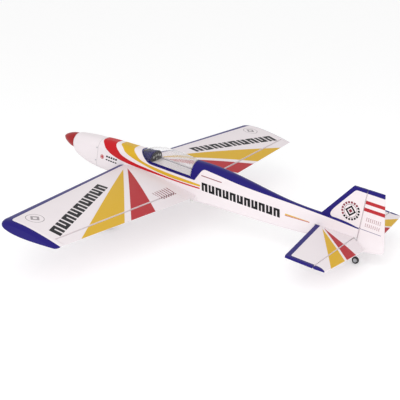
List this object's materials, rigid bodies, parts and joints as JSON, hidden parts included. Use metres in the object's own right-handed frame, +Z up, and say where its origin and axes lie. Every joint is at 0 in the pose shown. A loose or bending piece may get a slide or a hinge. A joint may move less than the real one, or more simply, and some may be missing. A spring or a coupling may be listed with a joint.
{
  "type": "radio-control model aircraft",
  "caption": "Low-wing aerobatic radio-control model aircraft with hollow film-covered wing and fuselage, clear canopy, cowled engine, hinged controls and tailwheel gear.",
  "frame": {"origin": "centre of the bounding box at floor level, standing on its three wheels", "axes": "+X to the right wing tip, +Y to the nose, +Z up; the airframe is pitched nose up as it stands"},
  "size_m": [1.598, 1.3734, 0.3006],
  "materials": {
    "white_film": "gloss white iron-on film over balsa",
    "blue_film": "gloss deep blue film over balsa",
    "balsa": "bare balsa and spruce",
    "plywood": "bare birch plywood",
    "red_plastic": "gloss red moulded plastic",
    "cowl_white": "gloss white painted moulding",
    "clear_canopy": "thin clear moulded sheet",
    "cockpit_cream": "satin off-white deck",
    "cockpit_blue": "satin blue hood",
    "panel_grey": "dark grey instrument panel",
    "steel_wire": "bright music wire and screws",
    "cast_aluminium": "bead-blasted castings",
    "brass": "turned brass",
    "black_rubber": "black rubber",
    "grey_nylon": "grey moulded nylon",
    "white_nylon": "white moulded nylon",
    "black_plastic": "black moulded plastic",
    "tank_plastic": "translucent tank plastic"
  },
  "bodies": {
    "airframe": {"fuselage_shell": "white_film", "nose_deck": "white_film", "turtledeck": "blue_film", "fuselage_formers": "plywood", "belly_pan": "white_film", "wing_skin_left": "white_film", "wing_skin_right": "white_film", "wing_ribs": "balsa", "wing_spars": "balsa", "wing_tips": "blue_film", "wing_bolts": "white_nylon", "gear_legs": "steel_wire", "gear_straps": "steel_wire", "engine_cowl": "cowl_white", "machine_screws": "steel_wire", "engine_mount": "black_plastic", "crankcase": "cast_aluminium", "cylinder_fins": "cast_aluminium", "carburettor": "cast_aluminium", "muffler": "cast_aluminium", "glow_plug": "brass", "fuel_tank": "tank_plastic", "canopy": "clear_canopy", "cockpit_deck": "cockpit_cream", "glare_shield": "cockpit_blue", "instrument_panel": "panel_grey", "fin": "white_film", "stabilizer": "white_film", "tail_bracket": "grey_nylon", "radio_gear": "black_plastic", "servo_cases": "black_plastic", "control_hinges": "white_nylon"},
    "propeller_drive": {"crankshaft": "steel_wire", "spinner_backplate": "red_plastic", "spinner_cone": "red_plastic", "spinner_nut": "steel_wire"},
    "piston": {"piston": "cast_aluminium"},
    "throttle": {"throttle_barrel": "steel_wire"},
    "throttle_link": {"throttle_rod": "steel_wire"},
    "throttle_servo": {"throttle_arm": "white_nylon"},
    "elevator": {"elevator_halves": "white_film", "elevator_joiner": "steel_wire"},
    "elevator_link": {"elevator_rod": "steel_wire"},
    "elevator_servo": {"elevator_arm": "white_nylon"},
    "rudder": {"rudder": "white_film", "rudder_horn": "white_nylon", "tail_strut": "steel_wire"},
    "rudder_link": {"rudder_rod": "steel_wire"},
    "rudder_servo": {"rudder_arm": "white_nylon"},
    "tail_wheel": {"tail_hub": "grey_nylon", "tail_tyre": "black_rubber"},
    "aileron_left": {"aileron_left": "white_film", "torque_rod_left": "steel_wire"},
    "aileron_right": {"aileron_right": "white_film", "torque_rod_right": "steel_wire"},
    "aileron_servo": {"aileron_arm": "white_nylon"},
    "main_wheel_left": {"main_hub_left": "grey_nylon", "main_tyre_left": "black_rubber"},
    "main_wheel_right": {"main_hub_right": "grey_nylon", "main_tyre_right": "black_rubber"}
  },
  "joints": [
    {"name": "propeller_spin", "type": "hinge", "parent": "airframe", "child": "propeller_drive", "pos_m": [0, 0.59414, 0.26108], "axis": [0, 0.9873, 0.1588], "continuous": true},
    {"name": "piston_stroke", "type": "slide", "parent": "airframe", "child": "piston", "axis": [1, 0, 0], "range_m": [-0.011, 0.011]},
    {"name": "throttle_turn", "type": "hinge", "parent": "airframe", "child": "throttle", "pos_m": [0, 0.59345, 0.28427], "axis": [1, 0, 0], "range_deg": [-35, 35]},
    {"name": "throttle_rod_slide", "type": "slide", "parent": "airframe", "child": "throttle_link", "axis": [-0.0051, 0.9946, 0.1036], "range_m": [-0.0061, 0.0061]},
    {"name": "throttle_arm_turn", "type": "hinge", "parent": "airframe", "child": "throttle_servo", "pos_m": [-0.026, 0.30369, 0.24071], "axis": [0, -0.1588, 0.9873], "range_deg": [-31, 31]},
    {"name": "elevator_turn", "type": "hinge", "parent": "airframe", "child": "elevator", "pos_m": [0, -0.57786, 0.09186], "axis": [1, 0, 0], "range_deg": [-20, 20]},
    {"name": "elevator_rod_slide", "type": "slide", "parent": "airframe", "child": "elevator_link", "axis": [-0.0089, 0.9798, 0.1998], "range_m": [-0.0089, 0.0089]},
    {"name": "elevator_arm_turn", "type": "hinge", "parent": "airframe", "child": "elevator_servo", "pos_m": [0.0125, 0.25433, 0.23277], "axis": [0, -0.1588, 0.9873], "range_deg": [-43, 43]},
    {"name": "rudder_turn", "type": "hinge", "parent": "airframe", "child": "rudder", "pos_m": [0, -0.59666, 0.13948], "axis": [0, -0.1588, 0.9873], "range_deg": [-25, 25]},
    {"name": "rudder_rod_slide", "type": "slide", "parent": "airframe", "child": "rudder_link", "axis": [-0.0286, 0.9811, 0.1912], "range_m": [-0.0107, 0.0107]},
    {"name": "rudder_arm_turn", "type": "hinge", "parent": "airframe", "child": "rudder_servo", "pos_m": [-0.0125, 0.25433, 0.23277], "axis": [0, -0.1588, 0.9873], "range_deg": [-51, 51]},
    {"name": "tail_wheel_spin", "type": "hinge", "parent": "rudder", "child": "tail_wheel", "pos_m": [0, -0.58637, 0.0125], "axis": [1, 0, 0], "continuous": true},
    {"name": "aileron_left_turn", "type": "hinge", "parent": "airframe", "child": "aileron_left", "pos_m": [-0.4, 0.10203, 0.16328], "axis": [0.9994, -0.0114, -0.0336], "range_deg": [-20, 20]},
    {"name": "aileron_right_turn", "type": "hinge", "parent": "airframe", "child": "aileron_right", "pos_m": [0.4, 0.10203, 0.16328], "axis": [0.9994, 0.0114, 0.0336], "range_deg": [-20, 20]},
    {"name": "aileron_arm_turn", "type": "hinge", "parent": "airframe", "child": "aileron_servo", "pos_m": [0, 0.16921, 0.18262], "axis": [0, -0.1588, 0.9873], "range_deg": [-31, 31]},
    {"name": "main_wheel_left_spin", "type": "hinge", "parent": "airframe", "child": "main_wheel_left", "pos_m": [-0.181, 0.34738, 0.032], "axis": [1, 0, 0], "continuous": true},
    {"name": "main_wheel_right_spin", "type": "hinge", "parent": "airframe", "child": "main_wheel_right", "pos_m": [0.181, 0.34738, 0.032], "axis": [1, 0, 0], "continuous": true}
  ],
  "couplings": [
    {"joint": "throttle_turn", "follows": "throttle_rod_slide", "rad_per_m": 100},
    {"joint": "throttle_arm_turn", "follows": "throttle_rod_slide", "rad_per_m": 83.333},
    {"joint": "elevator_rod_slide", "follows": "elevator_turn", "m_per_rad": 0.025},
    {"joint": "elevator_arm_turn", "follows": "elevator_turn", "ratio": 2.0833},
    {"joint": "rudder_rod_slide", "follows": "rudder_turn", "m_per_rad": 0.024},
    {"joint": "rudder_arm_turn", "follows": "rudder_turn", "ratio": 2},
    {"joint": "aileron_right_turn", "follows": "aileron_left_turn", "ratio": -1},
    {"joint": "aileron_arm_turn", "follows": "aileron_left_turn", "ratio": 1.5}
  ]
}
